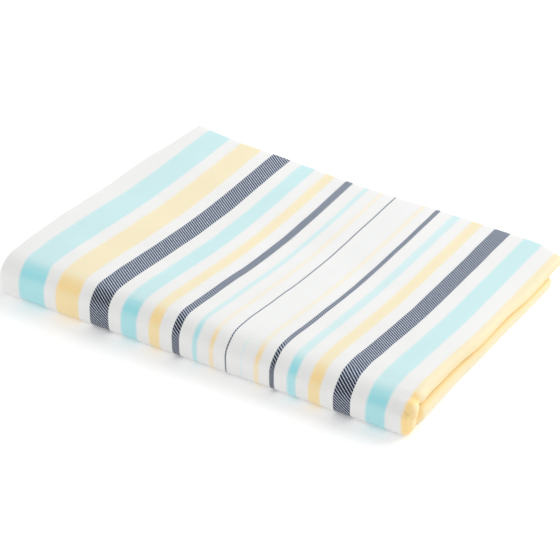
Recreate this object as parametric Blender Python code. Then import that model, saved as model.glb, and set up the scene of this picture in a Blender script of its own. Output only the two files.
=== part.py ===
"""Beach towel, folded into a flat packet.

One length of woven cloth, 0.9 m wide. It is folded in thirds along its length, then in half across
its width, which makes the rolled right side, and last in half over the near long edge, which makes
the plump front fold. The packet lies flat on Z = 0. Units are metres, +X runs along the front fold
and +Y runs away from it, with the origin under the middle of the packet.
"""
import math

import bpy
import bmesh

# the cloth
CLOTH = 0.0015          # thickness of the woven cloth
HALF_LAYERS = 6         # layers after folding in thirds and then across the width
LAYERS = 12             # layers in the finished packet

# plan of the packet
LEFT = -0.2240          # open side, where the long edges of the cloth lie
RIGHT = 0.2240          # outermost line of the rolled right side
FRONT = -0.1718         # foremost line of the front fold
STRAIGHT = -0.2024      # left of this line the margin follows the slanting open side

# how far each layer of the front fold stands in front of the next one inside it: x, distance
FRONT_REACH = (
    (-0.2240, 0.0045),
    (-0.1060, 0.0036),
    (-0.0300, 0.0038),
    (0.1000, 0.0046),
    (0.1500, 0.0048),
    (0.1870, 0.0044),
    (0.2240, 0.0054),
)
# how blunt the front fold's lower and upper halves are, as the exponents of its oval
BLUNT_LOWER = 5.0
BLUNT_UPPER = 2.1

# far edge: x, y of the upper half, y of the lower half
FAR_EDGE = (
    (-0.2240, 0.1718, 0.1590),
    (-0.2024, 0.1688, 0.1560),
    (-0.1583, 0.1630, 0.1505),
    (-0.1176, 0.1608, 0.1475),
    (-0.0825, 0.1584, 0.1450),
    (-0.0263, 0.1542, 0.1410),
    (0.0000, 0.1527, 0.1395),
    (0.0317, 0.1522, 0.1380),
    (0.0965, 0.1525, 0.1340),
    (0.1455, 0.1504, 0.1280),
    (0.1980, 0.1478, 0.1190),
    (0.2240, 0.1370, 0.1140),
)

# height of the packet: y, then at the left end, left of the middle, in the middle, at the right end
HEIGHT = (
    (-0.1436, 0.0400, 0.0400, 0.0400, 0.0375),
    (-0.1289, 0.0400, 0.0388, 0.0386, 0.0374),
    (-0.1093, 0.0396, 0.0369, 0.0360, 0.0352),
    (-0.0897, 0.0384, 0.0343, 0.0336, 0.0332),
    (-0.0701, 0.0369, 0.0320, 0.0312, 0.0314),
    (-0.0456, 0.0344, 0.0294, 0.0278, 0.0292),
    (-0.0211, 0.0320, 0.0270, 0.0252, 0.0272),
    (0.0034, 0.0290, 0.0252, 0.0236, 0.0260),
    (0.0279, 0.0272, 0.0240, 0.0222, 0.0252),
    (0.0573, 0.0260, 0.0230, 0.0219, 0.0243),
    (0.0965, 0.0247, 0.0229, 0.0219, 0.0233),
    (0.1357, 0.0242, 0.0230, 0.0222, 0.0222),
    (0.1710, 0.0236, 0.0228, 0.0222, 0.0220),
)
HEIGHT_X = (-0.2240, -0.1060, -0.0300, 0.1700)

# how far the open side lies inside LEFT: y, distance
OPEN_SIDE = (
    (-0.1718, 0.0040),
    (-0.1550, 0.0046),
    (-0.1260, 0.0042),
    (-0.0995, 0.0042),
    (-0.0710, 0.0028),
    (-0.0310, 0.0024),
    (0.0113, 0.0012),
    (0.0485, 0.0006),
    (0.0867, 0.0014),
    (0.1260, 0.0058),
    (0.1718, 0.0086),
)

# how far the rolled side lies inside RIGHT: y, distance of the upper and of the lower roll
ROLLED_SIDE = (
    (-0.1718, 0.0000, 0.0000),
    (-0.1525, 0.0014, 0.0004),
    (-0.1310, 0.0044, 0.0022),
    (-0.1090, 0.0050, 0.0040),
    (-0.0660, 0.0054, 0.0044),
    (-0.0340, 0.0034, 0.0034),
    (0.0250, 0.0036, 0.0024),
    (0.0650, 0.0008, 0.0008),
    (0.1050, 0.0010, 0.0000),
    (0.1360, 0.0014, 0.0006),
)
ROLL_EASE = 0.0380      # over this width the flat layers take up the roll's shape
ROLL_WHOLE = 0.0120     # the roll itself moves as one

# the pinch between the rounded near end of the roll and the lower roll behind it
PINCH_TOP_Y = -0.1402
PINCH_FOOT_Y = -0.1385
PINCH_TOP_Z = 0.0250
PINCH_DEPTH = 0.0090     # at its top
PINCH_FOOT_DEPTH = 0.0022
PINCH_WIDTH = 0.0038
PINCH_FADE = 0.0130      # it grows shallower above this height, under the upper roll
PINCH_END = 0.0360

# the long edges of each third at the open side: edge of the first half, edge of the second half,
# each as the distance that it lies inside the outermost edge
LONG_EDGES = (
    (0.0030, 0.0012),
    (0.0000, 0.0022),
    (0.0016, 0.0034),
)

# turned ends of the thirds: how far a turn over one layer and over two layers stands out
TURN_NARROW = 0.0010
TURN_WIDE = 0.0019
HEM_SHORT = 0.0030        # the hems stop this far short of the turned ends
HEM_FREE = 0.0060

# how finely the cloth is divided
FLAT_X = (LEFT, -0.2024, -0.1060, -0.0200, 0.0900, 0.1650, 0.2020)
FLAT_Y = (0.0, 0.030, 0.080, 0.150, 0.240, 0.360, 0.500, 0.650, 0.820, 0.950)
FRONT_STEPS = 8
ROLL_STEPS = 8
TURN_STEPS = 4

TOWEL_COLOUR = (0.86, 0.88, 0.86, 1.0)


def reading(table, column, x):
    """Smooth reading of one column of a table whose first column rises."""
    rows = len(table)
    if x <= table[0][0]:
        return table[0][column]
    if x >= table[-1][0]:
        return table[-1][column]
    i = 0
    while table[i + 1][0] < x:
        i += 1
    x0, x1 = table[i][0], table[i + 1][0]
    v0, v1 = table[i][column], table[i + 1][column]
    before, after = max(i - 1, 0), min(i + 2, rows - 1)
    slope0 = (v1 - table[before][column]) / (x1 - table[before][0])
    slope1 = (table[after][column] - v0) / (table[after][0] - x0)
    t = (x - x0) / (x1 - x0)
    span = x1 - x0
    return (v0 * (1 + 2 * t) * (1 - t) ** 2 + slope0 * span * t * (1 - t) ** 2
            + v1 * t * t * (3 - 2 * t) + slope1 * span * t * t * (t - 1))


def ease(x, start, end):
    """0 before start, 1 past end, smooth between."""
    t = min(1.0, max(0.0, (x - start) / (end - start)))
    return t * t * (3 - 2 * t)


def pitch(x, y):
    """Distance from one layer to the next at a place in the plan, from the packet's height there."""
    i = 0
    while i < len(HEIGHT_X) - 2 and x > HEIGHT_X[i + 1]:
        i += 1
    here, there = reading(HEIGHT, i + 1, y), reading(HEIGHT, i + 2, y)
    height = here + (there - here) * ease(x, HEIGHT_X[i], HEIGHT_X[i + 1])
    return (height - CLOTH) / (LAYERS - 1)


def oval(angle, share):
    """Cosine and sine of the front fold's oval, rounder for the inner layers."""
    blunt = BLUNT_UPPER if angle > 0 else BLUNT_LOWER
    power = 2 / (2 + (blunt - 2) * share)
    c, s = math.cos(angle), math.sin(angle)
    return math.copysign(abs(c) ** power, c), math.copysign(abs(s) ** power, s)


def fold_across(column, level, gap):
    """Second fold: the place across the packet and the level among the half's six layers."""
    kind, value = column
    middle = (HALF_LAYERS - 1) / 2
    if kind == "first":
        return value, level
    if kind == "second":
        return value, HALF_LAYERS - 1 - level
    out = middle - level
    axis = RIGHT - CLOTH / 2 - middle * gap
    return axis + out * gap * math.sin(value), middle - out * math.cos(value)


def fold_over_front(row, x, level):
    """Third fold: y of the cloth and its level among all the packet's layers."""
    kind, value, beyond = row
    middle = (LAYERS - 1) / 2
    reach = reading(FRONT_REACH, 1, x)
    axis = FRONT + CLOTH / 2 + middle * reach
    if kind == "front":
        out = middle - level
        c, s = oval(value, out / middle)
        return axis - out * reach * c, middle + out * s
    far = reading(FAR_EDGE, 1 if kind == "upper" else 2, x) - TURN_WIDE - CLOTH / 2
    y = axis + value * (far - axis) + beyond
    return y, (LAYERS - 1 - level if kind == "upper" else level)


def settle(x, y, z, upper):
    """The packet's unevenness in plan: the slanting open side, and the roll with its pinch."""
    if x < STRAIGHT:
        x += reading(OPEN_SIDE, 1, y) * (STRAIGHT - x) / (STRAIGHT - LEFT)
    roll = ease(x, RIGHT - ROLL_WHOLE - ROLL_EASE, RIGHT - ROLL_WHOLE)
    if roll > 0:
        lean = min(1.0, max(0.0, z / PINCH_TOP_Z))
        pinch_y = PINCH_FOOT_Y + (PINCH_TOP_Y - PINCH_FOOT_Y) * lean
        pinch = math.exp(-((y - pinch_y) / PINCH_WIDTH) ** 2) * (1 - ease(z, PINCH_FADE, PINCH_END))
        pinch *= PINCH_FOOT_DEPTH + (PINCH_DEPTH - PINCH_FOOT_DEPTH) * lean
        above, below = reading(ROLLED_SIDE, 1, y), reading(ROLLED_SIDE, 2, y)
        x -= roll * (pinch + below + (above - below) * upper)
    return x, y, z


def cloth_point(row, level, column, edge):
    """One point of the middle of the cloth in the folded packet."""
    side_y, _ = fold_over_front(row, FLAT_X[-1], level)
    x, half_level = fold_across(column, level, pitch(RIGHT, side_y))
    x += edge * (1 - ease(x, LEFT, LEFT + 0.02))
    y, packet_level = fold_over_front(row, x, half_level)
    z = CLOTH / 2 + packet_level * pitch(x, y)
    return settle(x, y, z, ease(packet_level / (LAYERS - 1), 0.4, 0.6))


def rows_along():
    """Rows along the cloth's length, one third after another: place, level and third."""
    lower = [("lower", value, 0.0) for value in FLAT_Y + (1.0,)]
    front = [("front", math.pi * (i / FRONT_STEPS - 0.5), 0.0) for i in range(1, FRONT_STEPS)]
    upper = [("upper", value, 0.0) for value in FLAT_Y + (1.0,)]
    strip = lower[::-1] + front + upper
    hem_in = (("lower", 1.0, -HEM_SHORT), ("upper", 1.0, -HEM_FREE))
    rows = []
    # first third, from its hem at the upper end back to its turn at the lower end
    rows += [(hem_in[1], 1.0, 0)] + [(row, 1.0, 0) for row in strip[-2::-1]]
    # turn over one layer at the lower end
    for i in range(1, TURN_STEPS):
        a = math.pi * i / TURN_STEPS
        rows.append((("lower", 1.0, TURN_NARROW * math.sin(a)), 0.5 + 0.5 * math.cos(a), 0))
    # middle third, the outermost cloth of the packet
    rows += [(row, 0.0, 1) for row in strip]
    # turn over two layers at the upper end
    for i in range(1, TURN_STEPS):
        a = math.pi * i / TURN_STEPS
        rows.append((("upper", 1.0, TURN_WIDE * math.sin(a)), 1.0 - math.cos(a), 2))
    # last third, to its hem at the lower end
    rows += [(row, 2.0, 2) for row in strip[:0:-1]] + [(hem_in[0], 2.0, 2)]
    return rows


def columns_across():
    """Columns across the cloth's width: first half, roll, second half."""
    first = [("first", value) for value in FLAT_X]
    roll = [("roll", math.pi * i / ROLL_STEPS) for i in range(ROLL_STEPS + 1)]
    second = [("second", value) for value in FLAT_X[::-1]]
    return first + roll + second


def towel_mesh():
    """The cloth's middle surface, folded, as a grid of quads."""
    bm = bmesh.new()
    columns = columns_across()
    grid = []
    rows = rows_along()
    for row, level, third in rows:
        line = []
        for column in columns:
            edge = LONG_EDGES[third][1 if column[0] == "second" else 0]
            line.append(bm.verts.new(cloth_point(row, level, column, edge)))
        grid.append(line)
    # the layers lie close, so all are split along the same diagonal as seen from above
    roll_middle = len(columns) // 2
    for (row, _, third), near, far in zip(rows, grid, grid[1:]):
        for i in range(len(columns) - 1):
            a, b, c, d = near[i], near[i + 1], far[i + 1], far[i]
            if (third == 1) ^ (row[0] == "upper") ^ (i < roll_middle):
                bm.faces.new((a, b, c))
                bm.faces.new((a, c, d))
            else:
                bm.faces.new((a, b, d))
                bm.faces.new((b, c, d))
    bmesh.ops.recalc_face_normals(bm, faces=bm.faces)
    mesh = bpy.data.meshes.new("towel")
    bm.to_mesh(mesh)
    bm.free()
    mesh.shade_smooth()
    return mesh


def build():
    for old in list(bpy.data.objects):
        bpy.data.objects.remove(old, do_unlink=True)
    cloth = bpy.data.materials.new("striped cloth")
    cloth.use_nodes = True
    shader = cloth.node_tree.nodes["Principled BSDF"]
    shader.inputs["Base Color"].default_value = TOWEL_COLOUR
    shader.inputs["Roughness"].default_value = 0.9
    shader.inputs["Metallic"].default_value = 0.0
    mesh = towel_mesh()
    mesh.materials.append(cloth)
    towel = bpy.data.objects.new("towel", mesh)
    bpy.context.scene.collection.objects.link(towel)
    thick = towel.modifiers.new("cloth thickness", "SOLIDIFY")
    thick.thickness = CLOTH
    thick.offset = 0.0
    thick.use_even_offset = False


build()
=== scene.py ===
"""Folded beach towel: the striped cloth in its folds, and a pale studio stage around it.

The cloth is one thin sheet, 0.9 m wide. It is folded in thirds along the stripes, then in half across
them, which makes the rolled right side, and last in half over the near long edge, which makes the
plump front fold. Sizes are metres, +X runs along the front fold and +Y away from it.
"""
import math

import bpy
from bpy.props import FloatProperty, FloatVectorProperty, PointerProperty
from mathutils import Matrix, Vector, noise


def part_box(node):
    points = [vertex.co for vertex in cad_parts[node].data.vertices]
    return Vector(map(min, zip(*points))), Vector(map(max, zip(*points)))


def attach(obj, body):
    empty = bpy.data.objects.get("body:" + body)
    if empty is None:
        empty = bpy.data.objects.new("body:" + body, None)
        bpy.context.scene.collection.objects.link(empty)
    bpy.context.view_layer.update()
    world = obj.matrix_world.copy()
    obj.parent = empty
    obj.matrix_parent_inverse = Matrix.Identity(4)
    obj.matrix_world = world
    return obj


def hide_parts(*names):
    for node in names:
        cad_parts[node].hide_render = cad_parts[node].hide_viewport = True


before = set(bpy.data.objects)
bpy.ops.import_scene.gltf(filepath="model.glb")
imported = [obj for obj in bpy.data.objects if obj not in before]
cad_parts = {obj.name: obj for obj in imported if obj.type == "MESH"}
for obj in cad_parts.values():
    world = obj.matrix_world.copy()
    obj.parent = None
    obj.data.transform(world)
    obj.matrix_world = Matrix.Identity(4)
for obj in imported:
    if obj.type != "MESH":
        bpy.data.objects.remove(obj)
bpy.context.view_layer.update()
TOWEL_LOW, TOWEL_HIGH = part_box("towel")

bl_info = {
    "name": "Folded beach towel",
    "version": (1, 0, 0),
    "blender": (4, 5, 0),
    "location": "3D View > Sidebar > Towel",
    "description": "Makes a striped beach towel folded into a flat packet, and a stage for it",
    "category": "Object",
}

# the folded packet in plan
HALF_LAYERS = 6         # layers after folding in thirds and then across the width
LAYERS = 12             # layers in the finished packet
LEFT = -0.2240          # outermost line of the open side, where the cloth's long edges lie
RIGHT = 0.2240          # outermost line of the rolled side
FRONT = -0.1718         # foremost line of the front fold
STRAIGHT = -0.2024      # left of this line the margin follows the slanting open side

# how far each layer of the front fold stands in front of the next one inside it: x, distance
FRONT_REACH = (
    (-0.2240, 0.0045),
    (-0.1060, 0.0036),
    (-0.0300, 0.0038),
    (0.1000, 0.0046),
    (0.1500, 0.0048),
    (0.1870, 0.0044),
    (0.2240, 0.0054),
)
BLUNT_LOWER = 5.0       # exponents of the front fold's oval, below and above its middle
BLUNT_UPPER = 2.1
CLOSER_TO_FRONT = 1.15  # above 1, the rows of a flat stretch crowd towards the front fold

# far edge: x, y of the upper half, y of the lower half
FAR_EDGE = (
    (-0.2240, 0.1718, 0.1590),
    (-0.2024, 0.1688, 0.1560),
    (-0.1583, 0.1630, 0.1505),
    (-0.1176, 0.1608, 0.1475),
    (-0.0825, 0.1584, 0.1450),
    (-0.0263, 0.1542, 0.1410),
    (0.0000, 0.1527, 0.1395),
    (0.0317, 0.1522, 0.1380),
    (0.0965, 0.1525, 0.1340),
    (0.1455, 0.1504, 0.1280),
    (0.1980, 0.1478, 0.1190),
    (0.2240, 0.1370, 0.1140),
)

# height: y, then at the left end, left of the middle, in the middle, at the right end
HEIGHT = (
    (-0.1436, 0.0400, 0.0400, 0.0400, 0.0375),
    (-0.1289, 0.0400, 0.0388, 0.0386, 0.0374),
    (-0.1093, 0.0396, 0.0369, 0.0360, 0.0352),
    (-0.0897, 0.0384, 0.0343, 0.0336, 0.0332),
    (-0.0701, 0.0369, 0.0320, 0.0312, 0.0314),
    (-0.0456, 0.0344, 0.0294, 0.0278, 0.0292),
    (-0.0211, 0.0320, 0.0270, 0.0252, 0.0272),
    (0.0034, 0.0290, 0.0252, 0.0236, 0.0260),
    (0.0279, 0.0272, 0.0240, 0.0222, 0.0252),
    (0.0573, 0.0260, 0.0230, 0.0219, 0.0243),
    (0.0965, 0.0247, 0.0229, 0.0219, 0.0233),
    (0.1357, 0.0242, 0.0230, 0.0222, 0.0222),
    (0.1710, 0.0236, 0.0228, 0.0222, 0.0220),
)
HEIGHT_X = (-0.2240, -0.1060, -0.0300, 0.1700)      # the x of those four places

# how far the open side lies inside LEFT: y, distance
OPEN_SIDE = (
    (-0.1718, 0.0040),
    (-0.1550, 0.0046),
    (-0.1260, 0.0042),
    (-0.0995, 0.0042),
    (-0.0710, 0.0028),
    (-0.0310, 0.0024),
    (0.0113, 0.0012),
    (0.0485, 0.0006),
    (0.0867, 0.0014),
    (0.1260, 0.0058),
    (0.1718, 0.0086),
)

# the rounded foot of the open side's near corner
OPEN_FOOT = 0.0085      # how much further in the lowest layer lies there
OPEN_FOOT_HIGH = 0.0190  # and the height, and the distance behind FRONT, at which that ends
OPEN_FOOT_DEEP = 0.0500

# how far the rolled side lies inside RIGHT: y, distance of the upper and of the lower roll
ROLLED_SIDE = (
    (-0.1718, 0.0000, 0.0030),
    (-0.1525, 0.0020, 0.0034),
    (-0.1310, 0.0044, 0.0034),
    (-0.1090, 0.0050, 0.0040),
    (-0.0660, 0.0054, 0.0044),
    (-0.0340, 0.0034, 0.0034),
    (0.0250, 0.0036, 0.0024),
    (0.0650, 0.0008, 0.0008),
    (0.1050, 0.0010, 0.0000),
    (0.1360, 0.0014, 0.0006),
)
ROLL_WHOLE = 0.0120     # so far inside RIGHT that distance holds in full
ROLL_EASE = 0.0380      # and over this width it fades out
ROLL_BLUNT = 2.7        # exponent of the outermost layer's oval at the roll
ROLL_X = 0.2020         # where the front fold is read to find the height of each layer's roll
FLAT_END = 0.0075       # the flat stretches end at least this far inside RIGHT

# the pinch between the rounded near end of the roll and the lower roll behind it
PINCH_FOOT_Y = -0.1500  # its place and depth on the ground
PINCH_FOOT_DEPTH = 0.0020
PINCH_TOP_Y = -0.1472   # and from PINCH_TOP_Z upwards
PINCH_DEPTH = 0.0078
PINCH_TOP_Z = 0.0150
PINCH_WIDTH = 0.0042
PINCH_FADE = 0.0130     # between these heights it fades out
PINCH_END = 0.0360

# the long edges of each third at the open side, inside the outermost edge: first half, second half
LONG_EDGES = (
    (0.0030, 0.0012),
    (0.0000, 0.0022),
    (0.0016, 0.0034),
)
EDGE_FADE = 0.0200      # width over which those distances fade out
TURN_NARROW = 0.0010    # how far the turn from the first to the second third stands out at the far edge
TURN_WIDE = 0.0019      # and the turn from the second to the last third, which goes round the first
UPPER_END = 0.0060      # how far inside the far edge the cloth's short ends stop, in the upper half
LOWER_END = 0.0030      # and in the lower half

# coloured bands across the packet's top: from x, to x, yarn
BANDS = (
    (-0.2008, -0.1720, "cyan"),
    (-0.1572, -0.1311, "yellow"),
    (-0.1169, -0.0953, "navy"),
    (-0.0811, -0.0640, "cyan"),
    (-0.0505, -0.0391, "yellow"),
    (-0.0255, -0.0173, "navy"),
    (-0.0030, 0.0020, "fine cyan"),
    (0.0149, 0.0193, "pale yellow"),
    (0.0317, 0.0332, "navy"),
    (0.0480, 0.0492, "pale cyan"),
    (0.0626, 0.0674, "pale yellow"),
    (0.0787, 0.0836, "navy"),
    (0.0974, 0.1061, "light cyan"),
    (0.1191, 0.1310, "yellow"),
    (0.1446, 0.1618, "navy"),
    (0.1772, 0.1970, "cyan"),
    (0.2135, 0.2600, "yellow"),
)
SOFT_EDGE = 0.0014      # half the width over which a pale band's edge fades
CRISP_EDGE = 0.0002
BAND_WANDER = 0.0009    # width of the strip in which a band's edge wanders
CENTRE = 0.4525         # from the cloth's long edge to its centre line, inside the rolled side
PAST_CENTRE = -0.0200   # where a band that crosses the centre line is cut off

# a yarn, the tint that it takes, and that tint's strength over white: on flat cloth, and in its painted
# shade copy where the cloth turns
YARNS = (
    ("cyan", "cyan", 1.00, 1.00),
    ("light cyan", "cyan", 0.77, 1.05),
    ("fine cyan", "cyan", 0.80, 0.84),
    ("pale cyan", "cyan", 0.22, 0.30),
    ("yellow", "yellow", 1.00, 1.00),
    ("pale yellow", "yellow", 0.50, 0.88),
    ("navy", "navy", 1.00, 1.00),
)

# the twill: each warp thread floats over three wefts and goes under one
REPEAT = 4.0
FLOAT_LENGTH = 2.95
# the float shows longer as the painted shade share rises, which deepens that painted shade further
FLOAT_LONGER = 0.4      # how much longer a float shows where the cloth turns
TWILL_START = 4001.0    # moves the diagonal lines along the cloth

# how far the bands lie to the right on the near face of the front fold: x, distance
NEAR_DRIFT = (
    (-0.2240, 0.0000),
    (-0.2003, 0.0027),
    (-0.1714, 0.0031),
    (-0.1570, 0.0019),
    (-0.1304, 0.0021),
    (-0.1166, 0.0007),
    (-0.0809, 0.0001),
    (-0.0500, 0.0005),
    (-0.0383, 0.0010),
    (-0.0159, 0.0008),
    (0.0330, 0.0011),
    (0.0810, 0.0010),
    (0.1260, 0.0012),
    (0.1870, 0.0014),
    (0.2130, 0.0000),
)
DRIFT_WHOLE = 0.0040    # so far behind FRONT that distance holds in full
DRIFT_END = 0.0220      # and from here on there is none

# painted shade: how much deeper the pale colours are painted where the cloth faces the front, away from
# the key light, and in the creases by the roll: a share, and the slopes between which it comes in
DEEPER_BEND = (0.70, 0.08, 0.48)        # over the front fold's bend
DEEPER_BROW = (0.22, 0.50, 0.70)        # most of all in its steep upper part
PALER_FACE = (0.38, 0.78, 0.95)         # and less where it stands upright
# painted shade in the crease between the two rolls
DEEPER_TUCK = 0.80                      # between the two rolls
TUCK_ABOVE = 0.50                       # how far that reaches, as a share of the lower roll's height
TUCK_BELOW = 0.28
# painted shade over the near right corner by the pinch, less on its outer lobe, which faces the key
# light
PALER_LOBE = (0.50, 0.2190, 0.2212)     # on the outer lobe of the near right corner, from x to x
CORNER_EASE = 0.0020                    # how far behind the pinch that corner's colour ends
ROLL_SHOWS = (0.0160, 0.0080)           # inside RIGHT, where the colours of the rolled side begin

# soft troughs pressed into the packet: from x, y, z, to x, y, z, width, depth, pressed along x, y, z
TROUGHS = (
    (0.2120, -0.1560, 0.0358, 0.2190, -0.1530, 0.0342, 0.0036, 0.0013, -0.4, 0.0, -0.9),
    (0.2190, -0.1530, 0.0342, 0.2215, -0.1480, 0.0290, 0.0036, 0.0017, -0.8, 0.0, -0.5),
    (0.2131, -0.1672, 0.0300, 0.2180, -0.1678, 0.0270, 0.0022, 0.0018, -0.2, 0.7, -0.6),
    (0.2180, -0.1678, 0.0270, 0.2204, -0.1670, 0.0220, 0.0022, 0.0014, -0.6, 0.7, -0.3),
    (0.2204, -0.1670, 0.0220, 0.2212, -0.1668, 0.0080, 0.0022, 0.0015, -0.7, 0.6, 0.0),
    (0.2180, -0.1610, 0.0335, 0.2232, -0.1600, 0.0240, 0.0034, 0.0010, 0.7, -0.3, 0.5),
    (0.2232, -0.1600, 0.0240, 0.2240, -0.1590, 0.0090, 0.0034, 0.0009, 1.0, -0.2, 0.0),
)
TROUGH_REACH = 3        # a trough ends at so many of its widths

# the undulation: how many rises and falls to a metre along x and y, and which slice of the noise
WAVE = (22, 16, 3.7)
RIPPLE = (60, 48, 8.1)
RIPPLE_SHARE = 0.35

# how finely the cloth is divided: stations along one flat stretch
FLAT_COLUMNS = 40
FLAT_ROWS_FINE = 62
FLAT_ROWS_HIDDEN = 34
FRONT_STEPS_FINE = 36
FRONT_STEPS_HIDDEN = 24
ROLL_STEPS = 22
TURN_STEPS = 8

# the stage: where the camera looks, where the lights stand and how wide they are
AIM = (-0.0064, -0.0103, 0.0)
KEY_PLACE = (0.95, 1.60, 1.45)
KEY_WIDTH = 2.2
FRONT_LIGHT_PLACE = (-0.95, -1.35, 0.35)
FRONT_LIGHT_WIDTH = 1.2
FLOOR_SHADE = (0.94, 0.94, 0.94)
FLOOR_LEVEL = -0.0003   # a hair under the cloth
SENSOR_WIDTH = 36.0
WHITE = (1.0, 1.0, 1.0, 1.0)


def reading(table, column, x):
    """Smooth reading of one column of a table whose first column rises."""
    rows = len(table)
    if x <= table[0][0]:
        return table[0][column]
    if x >= table[-1][0]:
        return table[-1][column]
    i = 0
    while table[i + 1][0] < x:
        i += 1
    x0, x1 = table[i][0], table[i + 1][0]
    v0, v1 = table[i][column], table[i + 1][column]
    before, after = max(i - 1, 0), min(i + 2, rows - 1)
    slope0 = (v1 - table[before][column]) / (x1 - table[before][0])
    slope1 = (table[after][column] - v0) / (table[after][0] - x0)
    t = (x - x0) / (x1 - x0)
    span = x1 - x0
    return (v0 * (1 + 2 * t) * (1 - t) ** 2 + slope0 * span * t * (1 - t) ** 2
            + v1 * t * t * (3 - 2 * t) + slope1 * span * t * t * (t - 1))


def ease(x, start, end):
    """0 before start, 1 past end, smooth between."""
    t = min(1.0, max(0.0, (x - start) / (end - start)))
    return t * t * (3 - 2 * t)


class Folding:
    """Folds the flat cloth: the rows run along its length and the columns across its width."""

    def __init__(self, thickness, unevenness):
        self.thickness = thickness
        self.unevenness = unevenness
        self.columns = self.columns_across()
        self.rows = self.rows_along()

    def pitch(self, x, y):
        """Distance from one layer to the next, from the packet's height at that place."""
        i = 0
        while i < len(HEIGHT_X) - 2 and x > HEIGHT_X[i + 1]:
            i += 1
        here, there = reading(HEIGHT, i + 1, y), reading(HEIGHT, i + 2, y)
        height = here + (there - here) * ease(x, HEIGHT_X[i], HEIGHT_X[i + 1])
        return (height - self.thickness) / (LAYERS - 1)

    def oval(self, angle, share):
        """Cosine and sine of the front fold's oval, rounder for the inner layers."""
        blunt = BLUNT_UPPER if angle > 0 else BLUNT_LOWER
        power = 2 / (2 + (blunt - 2) * share)
        c, s = math.cos(angle), math.sin(angle)
        return math.copysign(abs(c) ** power, c), math.copysign(abs(s) ** power, s)

    def fold_across(self, column, level, gap):
        """Second fold: the place across the packet and the level among the half's six layers."""
        kind, value = column
        middle = (HALF_LAYERS - 1) / 2
        axis = RIGHT - self.thickness / 2 - middle * gap
        if kind == "roll":
            out = middle - level
            power = 2 / (2 + (ROLL_BLUNT - 2) * (out / middle) ** 2)
            c, s = math.cos(value), math.sin(value)
            turn = math.copysign(abs(c) ** power, c)
            return axis + out * gap * abs(s) ** power, middle - out * turn
        x = LEFT + value * (min(axis, RIGHT - FLAT_END) - LEFT)
        return x, level if kind == "first" else HALF_LAYERS - 1 - level

    def fold_over_front(self, row, x, level):
        """Third fold: y of the cloth and its level among all the packet's layers."""
        kind, value, beyond = row
        middle = (LAYERS - 1) / 2
        reach = reading(FRONT_REACH, 1, x)
        axis = FRONT + self.thickness / 2 + middle * reach
        if kind == "front":
            out = middle - level
            c, s = self.oval(value, out / middle)
            return axis - out * reach * c, middle + out * s
        far = reading(FAR_EDGE, 1 if kind == "upper" else 2, x) - TURN_WIDE - self.thickness / 2
        y = axis + value * (far - axis) + beyond
        return y, (LAYERS - 1 - level if kind == "upper" else level)

    def settle(self, x, y, z, upper):
        """The packet's unevenness in plan: the slanting open side, and the roll with its pinch."""
        if x < STRAIGHT:
            inward = reading(OPEN_SIDE, 1, y)
            low = max(0.0, 1 - z / OPEN_FOOT_HIGH) ** 2
            inward += OPEN_FOOT * low * (1 - ease(y, FRONT, FRONT + OPEN_FOOT_DEEP))
            x += inward * (STRAIGHT - x) / (STRAIGHT - LEFT)
        roll = ease(x, RIGHT - ROLL_WHOLE - ROLL_EASE, RIGHT - ROLL_WHOLE)
        if roll > 0:
            lean = min(1.0, max(0.0, z / PINCH_TOP_Z))
            pinch_y = PINCH_FOOT_Y + (PINCH_TOP_Y - PINCH_FOOT_Y) * lean
            pinch = math.exp(-((y - pinch_y) / PINCH_WIDTH) ** 2) * (1 - ease(z, PINCH_FADE, PINCH_END))
            pinch *= PINCH_FOOT_DEPTH + (PINCH_DEPTH - PINCH_FOOT_DEPTH) * lean
            above, below = reading(ROLLED_SIDE, 1, y), reading(ROLLED_SIDE, 2, y)
            x -= roll * (pinch + below + (above - below) * upper)
        return Vector((x, y, z))

    def soften(self, point):
        """Presses the troughs in and lets the packet undulate, all its layers alike."""
        moved = point.copy()
        for ax, ay, az, bx, by, bz, width, depth, px, py, pz in TROUGHS:
            a, b = Vector((ax, ay, az)), Vector((bx, by, bz))
            along = (point - a).dot(b - a) / (b - a).length_squared
            near = a + (b - a) * min(1.0, max(0.0, along))
            away = (point - near).length / width
            if away < TROUGH_REACH:
                moved += depth * math.exp(-away * away) * Vector((px, py, pz))
        lift = min(1.0, point.z / TOWEL_HIGH[2])
        wave, ripple = (
            noise.noise(Vector((point.x * across, point.y * deep, piece)))
            for across, deep, piece in (WAVE, RIPPLE))
        moved.z += self.unevenness * lift * (wave + RIPPLE_SHARE * ripple)
        return moved

    def painted_shade(self, point, normal):
        """How deep the painted shade makes the pale colours: at the front fold's bend and on its face,
        which face away from the key light, in the crease between the rolls and over the near right
        corner.
        """
        # painted shade over the front fold's bend, which faces away from the key light, less where it
        # stands upright
        bend, brow, face = (
            share * ease(-normal.y, start, end)
            for share, start, end in (DEEPER_BEND, DEEPER_BROW, PALER_FACE))
        front = bend + brow - face
        # painted shade in the crease between the two rolls
        between = self.thickness / 2 + (LAYERS - 1) / 2 * self.pitch(RIGHT, point.y)
        apart = (point.z - between) / between
        crease_shade = DEEPER_TUCK * math.exp(-(apart / (TUCK_ABOVE if apart > 0 else TUCK_BELOW)) ** 2)
        # painted shade over the near right corner by the pinch, less on its outer lobe
        paler, start, end = PALER_LOBE
        corner = 1 - ease(point.y, PINCH_FOOT_Y, PINCH_TOP_Y + CORNER_EASE)
        corner *= 1 - paler * ease(point.x, start, end)
        shows = ease(point.x, RIGHT - ROLL_SHOWS[0], RIGHT - ROLL_SHOWS[1])
        return max(front, max(crease_shade, corner) * shows)

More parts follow.
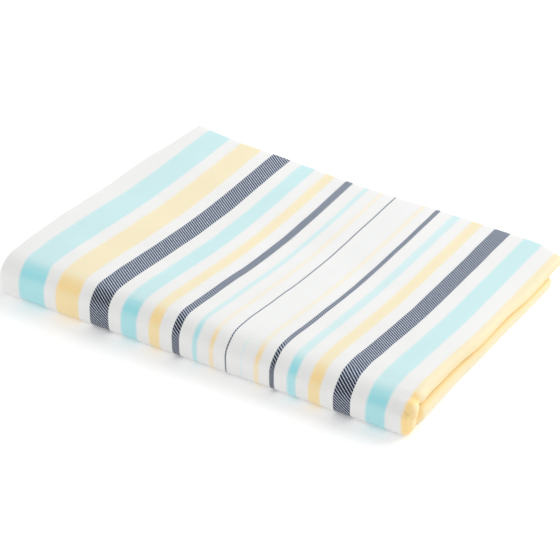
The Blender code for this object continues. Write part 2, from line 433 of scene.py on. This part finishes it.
    def cloth_point(self, row, level, column, edge):
        """One point of the middle of the cloth in the folded packet."""
        side_y, _ = self.fold_over_front(row, ROLL_X, level)
        x, half_level = self.fold_across(column, level, self.pitch(RIGHT, side_y))
        x += edge * (1 - ease(x, LEFT, LEFT + EDGE_FADE))
        y, packet_level = self.fold_over_front(row, x, half_level)
        z = self.thickness / 2 + packet_level * self.pitch(x, y)
        point = self.settle(x, y, z, ease(packet_level / (LAYERS - 1), 0.4, 0.6))
        return self.soften(point)

    def strip(self, flat_rows, front_steps):
        """One third of the cloth from its lower end, over the front fold, to its upper end."""
        lower = [("lower", (i / flat_rows) ** CLOSER_TO_FRONT, 0.0) for i in range(flat_rows + 1)]
        front = [("front", math.pi * (i / front_steps - 0.5), 0.0) for i in range(1, front_steps)]
        upper = [("upper", value, 0.0) for _, value, _ in lower]
        return lower[::-1] + front + upper

    def rows_along(self):
        """Rows along the cloth's length, one third after another: place, level and third."""
        fine = self.strip(FLAT_ROWS_FINE, FRONT_STEPS_FINE)
        hidden = self.strip(FLAT_ROWS_HIDDEN, FRONT_STEPS_HIDDEN)
        rows = [(("upper", 1.0, -UPPER_END), 1.0, 0)] + [(row, 1.0, 0) for row in hidden[-2::-1]]
        for i in range(1, TURN_STEPS):
            a = math.pi * i / TURN_STEPS
            rows.append((("lower", 1.0, TURN_NARROW * math.sin(a)), 0.5 + 0.5 * math.cos(a), 0))
        rows += [(row, 0.0, 1) for row in fine]
        for i in range(1, TURN_STEPS):
            a = math.pi * i / TURN_STEPS
            rows.append((("upper", 1.0, TURN_WIDE * math.sin(a)), 1.0 - math.cos(a), 2))
        rows += [(row, 2.0, 2) for row in hidden[:0:-1]] + [(("lower", 1.0, -LOWER_END), 2.0, 2)]
        return rows

    def columns_across(self):
        """Columns across the cloth's width: first half, roll, second half."""
        flat = [i / FLAT_COLUMNS for i in range(FLAT_COLUMNS)]
        first = [("first", value) for value in flat]
        roll = [("roll", math.pi * i / ROLL_STEPS) for i in range(ROLL_STEPS + 1)]
        second = [("second", value) for value in flat[::-1]]
        return first + roll + second

    def fold(self):
        """The folded place of each grid point, and its place on the flat cloth as (across, along)."""
        places, flat = [], []
        along = 0.0
        last_middle = None
        for row, level, third in self.rows:
            line = []
            for column in self.columns:
                edge = LONG_EDGES[third][1 if column[0] == "second" else 0]
                line.append(self.cloth_point(row, level, column, edge))
            if last_middle is not None:
                along += (line[FLAT_COLUMNS // 2] - last_middle).length
            last_middle = line[FLAT_COLUMNS // 2]
            places.append(line)
            flat.append([(across, along) for across in self.across(line)])
        return places, flat, along

    def across(self, line):
        """Distance from the cloth's centre line to each point of one row, along the cloth."""
        start, end = FLAT_COLUMNS, FLAT_COLUMNS + ROLL_STEPS
        half = CENTRE - (line[start].x - LEFT)
        lengths = [0.0]
        for a, b in zip(line[start:end], line[start + 1:end + 1]):
            lengths.append(lengths[-1] + (b - a).length)
        result = []
        for i, point in enumerate(line):
            if start <= i <= end:
                result.append(-half + 2 * half * lengths[i - start] / lengths[-1])
                continue
            drift = reading(NEAR_DRIFT, 1, point.x)
            drift *= 1 - ease(point.y, FRONT + DRIFT_WHOLE, FRONT + DRIFT_END)
            distance = CENTRE - (point.x - drift - LEFT)
            result.append(-distance if i < start else distance)
        return result


class TowelSizes(bpy.types.PropertyGroup):
    """Sizes of the cloth that a user would change."""

    thickness: FloatProperty(
        name="Cloth thickness", description="Thickness of the woven cloth",
        default=0.0015, min=0.0010, max=0.0016, precision=4, unit="LENGTH")
    unevenness: FloatProperty(
        name="Unevenness", description="How far the packet's surface rises and falls",
        default=0.0007, min=0.0, max=0.0020, precision=4, unit="LENGTH")
    warp_pitch: FloatProperty(
        name="Warp pitch", description="Distance from one lengthwise thread to the next",
        default=0.00110, min=0.0003, max=0.0020, precision=5, unit="LENGTH")
    weft_pitch: FloatProperty(
        name="Weft pitch", description="Distance from one crosswise thread to the next",
        default=0.00077, min=0.0003, max=0.0020, precision=5, unit="LENGTH")
    relief: FloatProperty(
        name="Thread relief", description="How far the threads stand proud of each other",
        default=0.00022, min=0.0, max=0.0010, precision=5, unit="LENGTH")


class TowelColours(bpy.types.PropertyGroup):
    """Colours of the yarns."""

    white: FloatVectorProperty(
        name="White", description="Yarn of the ground, and of the weft all over",
        default=(0.86, 0.86, 0.852), subtype="COLOR", min=0.0, max=1.0)
    # painted shade on the weft of the white ground, which lies lower than the warp
    white_weft_shade: FloatVectorProperty(
        name="Weft among white", description="Tint of the weft where the ground is all white",
        default=(0.940, 0.940, 0.935), subtype="COLOR", min=0.0, max=1.2)
    cyan: FloatVectorProperty(
        name="Cyan", description="Tint of the pale cyan bands, over white",
        default=(0.655, 0.935, 0.965), subtype="COLOR", min=0.0, max=1.2)
    # painted shade: a deeper, darker copy of the cyan tint, for the front fold and the creases by the
    # roll
    cyan_painted_shade: FloatVectorProperty(
        name="Cyan at folds", description="Deeper tint of the cyan bands where the cloth turns",
        default=(0.365, 0.885, 0.970), subtype="COLOR", min=0.0, max=1.2)
    yellow: FloatVectorProperty(
        name="Yellow", description="Tint of the pale yellow bands, over white",
        default=(1.037, 0.916, 0.617), subtype="COLOR", min=0.0, max=1.2)
    # painted shade: a deeper, darker copy of the yellow tint, for the front fold and the creases by the
    # roll
    yellow_painted_shade: FloatVectorProperty(
        name="Yellow at folds", description="Deeper tint of the yellow bands where the cloth turns",
        default=(1.155, 0.845, 0.370), subtype="COLOR", min=0.0, max=1.2)
    navy: FloatVectorProperty(
        name="Navy", description="Tint of the dark bands, over white",
        default=(0.020, 0.052, 0.120), subtype="COLOR", min=0.0, max=1.2)
    # painted shade: a darker copy of the navy tint, for the front fold and the creases by the roll
    navy_painted_shade: FloatVectorProperty(
        name="Navy at folds", description="Deeper tint of the dark bands where the cloth turns",
        default=(0.015, 0.024, 0.045), subtype="COLOR", min=0.0, max=1.2)
    navy_weft: FloatVectorProperty(
        name="Weft among navy", description="Tint that the white weft takes between the dark threads",
        default=(0.93, 0.98, 1.08), subtype="COLOR", min=0.0, max=1.2)
    blend: FloatProperty(
        name="Tinted weft", description="How far the weft takes the colour of a pale band",
        default=0.80, min=0.0, max=1.0, subtype="FACTOR")
    sheen: FloatProperty(
        name="Sheen", description="Pale bloom of the loose fibres, seen at a low angle",
        default=0.20, min=0.0, max=1.0, subtype="FACTOR")


class StageSettings(bpy.types.PropertyGroup):
    """The camera, the floor and the lights."""

    distance: FloatProperty(
        name="Camera distance", description="From the camera to the point that it looks at",
        default=2.156, unit="LENGTH")
    turn: FloatProperty(
        name="Turn", description="How far the camera stands to the right of the front fold",
        default=math.radians(31.18), subtype="ANGLE")
    elevation: FloatProperty(
        name="Elevation", description="How far the camera looks down",
        default=math.radians(33.47), subtype="ANGLE")
    lens: FloatProperty(
        name="Lens", description="Focal length on a 36 mm sensor, in millimetres", default=143.29)
    floor: FloatProperty(
        name="Floor size", description="Side of the square floor", default=8.0, unit="LENGTH")
    sky: FloatProperty(
        name="Room light", description="Strength of the even light from all around", default=0.70)
    key: FloatProperty(
        name="Key light", description="Power of the large soft light behind, on the right",
        default=42.0)
    glow: FloatProperty(
        name="Floor glow", description="Light that the pale floor gives off by itself", default=0.15)
    fill: FloatProperty(
        name="Front light", description="Power of the low soft light in front", default=4.6)


class Wiring:
    """Short ways to add and join the nodes of a material."""

    def __init__(self, tree):
        self.tree = tree

    def add(self, kind, **values):
        node = self.tree.nodes.new(kind)
        for name, value in values.items():
            setattr(node, name, value)
        return node

    def join(self, source, target):
        self.tree.links.new(source, target)

    def feed(self, value, socket):
        if isinstance(value, (int, float)):
            socket.default_value = value
        else:
            self.join(value, socket)

    def math(self, operation, a, b=None, clamp=False):
        node = self.add("ShaderNodeMath", operation=operation, use_clamp=clamp)
        self.feed(a, node.inputs[0])
        if b is not None:
            self.feed(b, node.inputs[1])
        return node.outputs[0]

    def mix(self, factor, a, b):
        node = self.add("ShaderNodeMix", data_type="RGBA")
        self.feed(factor, node.inputs[0])
        for value, socket in ((a, node.inputs[6]), (b, node.inputs[7])):
            if isinstance(value, tuple):
                socket.default_value = value
            else:
                self.join(value, socket)
        return node.outputs[2]


def band_mask(w, from_centre, yarn):
    """1 where the cloth has bands of this yarn, by the distance from its centre line."""
    edge = CRISP_EDGE if yarn == "navy" else SOFT_EDGE
    mask = None
    for left, right, colour in BANDS:
        if colour != yarn:
            continue
        near, far = max(PAST_CENTRE, CENTRE - (right - LEFT)), CENTRE - (left - LEFT)
        middle, half = (near + far) / 2, (far - near) / 2
        away = w.math("ABSOLUTE", w.math("SUBTRACT", from_centre, middle))
        inside = w.math("DIVIDE", w.math("SUBTRACT", half + edge, away), 2 * edge, clamp=True)
        mask = inside if mask is None else w.math("MAXIMUM", mask, inside)
    return mask


def faded(tint, strength):
    """A tint over white, weaker as its strength falls."""
    return tuple(1.0 + (c - 1.0) * strength for c in tint) + (1.0,)


def striped_twill(sizes, colours, width, length):
    """Woven cotton: bands of coloured warp among white, in a twill that floats over three wefts."""
    material = bpy.data.materials.new("striped cotton twill")
    material.use_nodes = True
    w = Wiring(material.node_tree)
    shader = material.node_tree.nodes["Principled BSDF"]
    place = w.add("ShaderNodeUVMap", uv_map="flat cloth")
    split = w.add("ShaderNodeSeparateXYZ")
    w.join(place.outputs[0], split.inputs[0])
    across = w.math("MULTIPLY", split.outputs[0], width)
    along = w.math("MULTIPLY", split.outputs[1], length)

    # the bands, whose edges wander a little
    flat = w.add("ShaderNodeCombineXYZ")
    w.join(across, flat.inputs[0])
    w.join(along, flat.inputs[1])
    wander = w.add("ShaderNodeTexNoise", noise_dimensions="2D")
    wander.inputs["Scale"].default_value = 28.0
    wander.inputs["Detail"].default_value = 1.0
    w.join(flat.outputs[0], wander.inputs["Vector"])
    offset = w.math("MULTIPLY", w.math("SUBTRACT", wander.outputs[0], 0.5), BAND_WANDER)
    from_centre = w.math("ADD", w.math("ABSOLUTE", w.math("SUBTRACT", across, CENTRE)), offset)

    # which thread lies on top
    column = w.math("DIVIDE", across, sizes.warp_pitch)
    row = w.math("DIVIDE", along, sizes.weft_pitch)
    # the share of painted shade, read from the cloth's points
    painted_shade = w.add("ShaderNodeAttribute", attribute_type="GEOMETRY", attribute_name="painted_shade").outputs[2]
    stepped = w.math("ADD", w.math("ADD", w.math("FLOOR", column), row), TWILL_START)
    phase = w.math("MODULO", stepped, REPEAT)
    # the floats show longer where the painted shade share is high, which deepens that painted shade
    float_length = w.math("ADD", w.math("MULTIPLY", painted_shade, FLOAT_LONGER), FLOAT_LENGTH)
    warp_up = w.math("LESS_THAN", phase, float_length)

    # the yarns' colours: the white ground, and the bands over it
    # the white ground's weft is a little darker: painted shade, where it lies lower than the warp
    pattern = w.mix(warp_up, faded(colours.white_weft_shade, 1.0), WHITE)
    # each band mixes its flat tint with its darker painted shade copy by the painted shade share
    for yarn, tint, flat_strength, painted_shade_strength in YARNS:
        tints = (
            (getattr(colours, tint), flat_strength),
            (getattr(colours, tint + "_painted_shade"), painted_shade_strength))
        warp = [faded(shown, strength) for shown, strength in tints]
        weft = [faded(shown, strength * colours.blend) for shown, strength in tints]
        if yarn == "navy":
            weft = [faded(colours.navy_weft, 1.0)] * 2
        threads = w.mix(warp_up, w.mix(painted_shade, *weft), w.mix(painted_shade, *warp))
        pattern = w.mix(band_mask(w, from_centre, yarn), pattern, threads)
    ground = w.add("ShaderNodeMix", data_type="RGBA", blend_type="MULTIPLY")
    ground.inputs[0].default_value = 1.0
    w.join(pattern, ground.inputs[6])
    ground.inputs[7].default_value = (*colours.white, 1.0)

    # it is a little lighter and darker from place to place
    shade = w.add("ShaderNodeTexNoise", noise_dimensions="2D")
    shade.inputs["Scale"].default_value = 9.0
    shade.inputs["Detail"].default_value = 3.0
    w.join(flat.outputs[0], shade.inputs["Vector"])
    value = w.add("ShaderNodeHueSaturation")
    w.join(w.math("ADD", w.math("MULTIPLY", shade.outputs[0], 0.10), 0.95), value.inputs["Value"])
    w.join(ground.outputs[2], value.inputs["Color"])
    w.join(value.outputs[0], shader.inputs["Base Color"])

    # threads rise and dip over each other
    def crown(number):
        swing = w.math("SUBTRACT", w.math("MULTIPLY", w.math("FRACT", number), 2.0), 1.0)
        return w.math("SUBTRACT", 1.0, w.math("MULTIPLY", swing, swing))

    crowns = w.add("ShaderNodeMix", data_type="FLOAT")
    w.join(warp_up, crowns.inputs[0])
    w.join(crown(row), crowns.inputs[2])
    w.join(crown(column), crowns.inputs[3])
    bump = w.add("ShaderNodeBump")
    bump.inputs["Strength"].default_value = 0.6
    bump.inputs["Distance"].default_value = sizes.relief
    w.join(crowns.outputs[0], bump.inputs["Height"])
    w.join(bump.outputs[0], shader.inputs["Normal"])

    shader.inputs["Roughness"].default_value = 0.92
    shader.inputs["Specular IOR Level"].default_value = 0.2
    shader.inputs["Sheen Weight"].default_value = colours.sheen
    shader.inputs["Sheen Roughness"].default_value = 0.5
    return material


def deselect_all():
    """Leaves nothing selected, so that an operator acts on new pieces alone."""
    for each in bpy.context.selected_objects:
        each.select_set(False)


def matt(name, colour, glow):
    """A plain matt material with a faint mottle, which may glow a little like a light table."""
    material = bpy.data.materials.new(name)
    material.use_nodes = True
    w = Wiring(material.node_tree)
    shader = material.node_tree.nodes["Principled BSDF"]
    place = w.add("ShaderNodeTexCoord")
    mottle = w.add("ShaderNodeTexNoise")
    mottle.inputs["Scale"].default_value = 3.0
    w.join(place.outputs["Object"], mottle.inputs["Vector"])
    lighter = tuple(min(1.0, c * 1.01) for c in colour) + (1.0,)
    w.join(w.mix(mottle.outputs[0], (*colour, 1.0), lighter), shader.inputs["Base Color"])
    shader.inputs["Roughness"].default_value = 0.9
    shader.inputs["Specular IOR Level"].default_value = 0.1
    shader.inputs["Emission Color"].default_value = WHITE
    shader.inputs["Emission Strength"].default_value = glow
    return material


class TOWEL_OT_cloth(bpy.types.Operator):
    """Make the striped cloth, folded into its packet"""

    bl_idname = "towel.cloth"
    bl_label = "Folded cloth"

    def execute(self, context):
        sizes, colours = context.scene.towel_sizes, context.scene.towel_colours
        folding = Folding(sizes.thickness, sizes.unevenness)
        places, flat, length = folding.fold()
        width = 2 * CENTRE
        columns, rows = len(folding.columns), len(folding.rows)
        deselect_all()
        bpy.ops.mesh.primitive_grid_add(
            x_subdivisions=columns - 1, y_subdivisions=rows - 1, size=1.0, calc_uvs=True)
        cloth = context.object
        cloth.name = "striped_cloth"
        mesh = cloth.data
        mesh.name = "striped_cloth"

        # each point of the flat sheet goes to its place in the folds
        count = columns * rows
        if len(mesh.vertices) != count:
            raise RuntimeError("the flat sheet has another number of points than its folds")
        order = []
        for vertex in mesh.vertices:
            i = round((vertex.co.x + 0.5) * (columns - 1))
            j = round((vertex.co.y + 0.5) * (rows - 1))
            order.append((i, j))
        for vertex, (i, j) in zip(mesh.vertices, order):
            vertex.co = places[j][i]
        chart = mesh.uv_layers[0]
        chart.name = "flat cloth"
        for loop, spot in zip(mesh.loops, chart.data):
            i, j = order[loop.vertex_index]
            across, along = flat[j][i]
            spot.uv = (across / width + 0.5, along / length)

        thick = cloth.modifiers.new("cloth thickness", "SOLIDIFY")
        thick.thickness = sizes.thickness
        thick.offset = 0.0
        thick.use_even_offset = False
        bpy.ops.object.modifier_apply(modifier=thick.name)
        bpy.ops.object.shade_smooth_by_angle(angle=math.radians(50))
        # each point's share of painted shade, kept on the mesh for the material
        painted_shade = mesh.attributes.new("painted_shade", "FLOAT", "POINT")
        for vertex, spot in zip(mesh.vertices, painted_shade.data):
            spot.value = folding.painted_shade(vertex.co, vertex.normal)
        mesh.materials.append(striped_twill(sizes, colours, width, length))
        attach(cloth, "root")
        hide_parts("towel")
        print("flat cloth", round(width, 4), "by", round(length, 4), "points", count)
        return {"FINISHED"}


class TOWEL_OT_stage(bpy.types.Operator):
    """Make the pale floor, the soft lights and the camera"""

    bl_idname = "towel.stage"
    bl_label = "Stage"

    def soft_light(self, name, place, size, power):
        """A square soft light that shines at the towel."""
        lamp = bpy.data.lights.new(name, "AREA")
        lamp.shape = "SQUARE"
        lamp.size = size
        lamp.energy = power
        light = bpy.data.objects.new(name, lamp)
        bpy.context.scene.collection.objects.link(light)
        light.location = place
        light.rotation_euler = (-Vector(place)).to_track_quat("-Z", "Y").to_euler()

    def execute(self, context):
        settings = context.scene.stage_settings
        deselect_all()
        bpy.ops.mesh.primitive_plane_add(size=settings.floor, location=(0.0, 0.0, FLOOR_LEVEL))
        floor = context.object
        floor.name = "studio_floor"
        bpy.ops.object.transform_apply(location=True, rotation=False, scale=False)
        floor.data.materials.append(matt("pale floor", FLOOR_SHADE, settings.glow))

        world = bpy.data.worlds.new("pale room")
        context.scene.world = world
        world.use_nodes = True
        room = world.node_tree.nodes["Background"]
        room.inputs["Color"].default_value = WHITE
        room.inputs["Strength"].default_value = settings.sky
        self.soft_light("key light", KEY_PLACE, KEY_WIDTH, settings.key)
        self.soft_light("front light", FRONT_LIGHT_PLACE, FRONT_LIGHT_WIDTH, settings.fill)

        turn, elevation = settings.turn, settings.elevation
        level = math.cos(elevation)
        ahead = Vector((-math.sin(turn) * level, math.cos(turn) * level, -math.sin(elevation)))
        lens = bpy.data.cameras.new("camera")
        camera = bpy.data.objects.new("camera", lens)
        context.scene.collection.objects.link(camera)
        camera.location = Vector(AIM) - settings.distance * ahead
        camera.rotation_euler = ahead.to_track_quat("-Z", "Y").to_euler()
        lens.lens = settings.lens
        lens.sensor_width = SENSOR_WIDTH
        context.scene.camera = camera
        context.scene.view_settings.view_transform = "Standard"
        return {"FINISHED"}


class TOWEL_PT_panel(bpy.types.Panel):
    """Lists the towel's sizes, colours and stage"""

    bl_idname = "TOWEL_PT_panel"
    bl_label = "Folded beach towel"
    bl_space_type = "VIEW_3D"
    bl_region_type = "UI"
    bl_category = "Towel"

    def draw(self, context):
        layout = self.layout
        for group in (context.scene.towel_sizes, context.scene.towel_colours):
            box = layout.box()
            for name in group.bl_rna.properties.keys():
                if name not in ("rna_type", "name"):
                    box.prop(group, name)
        layout.operator(TOWEL_OT_cloth.bl_idname)
        box = layout.box()
        for name in context.scene.stage_settings.bl_rna.properties.keys():
            if name not in ("rna_type", "name"):
                box.prop(context.scene.stage_settings, name)
        layout.operator(TOWEL_OT_stage.bl_idname)


CLASSES = (TowelSizes, TowelColours, StageSettings, TOWEL_OT_cloth, TOWEL_OT_stage, TOWEL_PT_panel)


def register():
    for each in CLASSES:
        bpy.utils.register_class(each)
    bpy.types.Scene.towel_sizes = PointerProperty(type=TowelSizes)
    bpy.types.Scene.towel_colours = PointerProperty(type=TowelColours)
    bpy.types.Scene.stage_settings = PointerProperty(type=StageSettings)


def unregister():
    del bpy.types.Scene.stage_settings
    del bpy.types.Scene.towel_colours
    del bpy.types.Scene.towel_sizes
    for each in reversed(CLASSES):
        bpy.utils.unregister_class(each)


def main():
    register()
    bpy.ops.towel.stage()
    bpy.ops.towel.cloth()


if __name__ == "__main__":
    main()
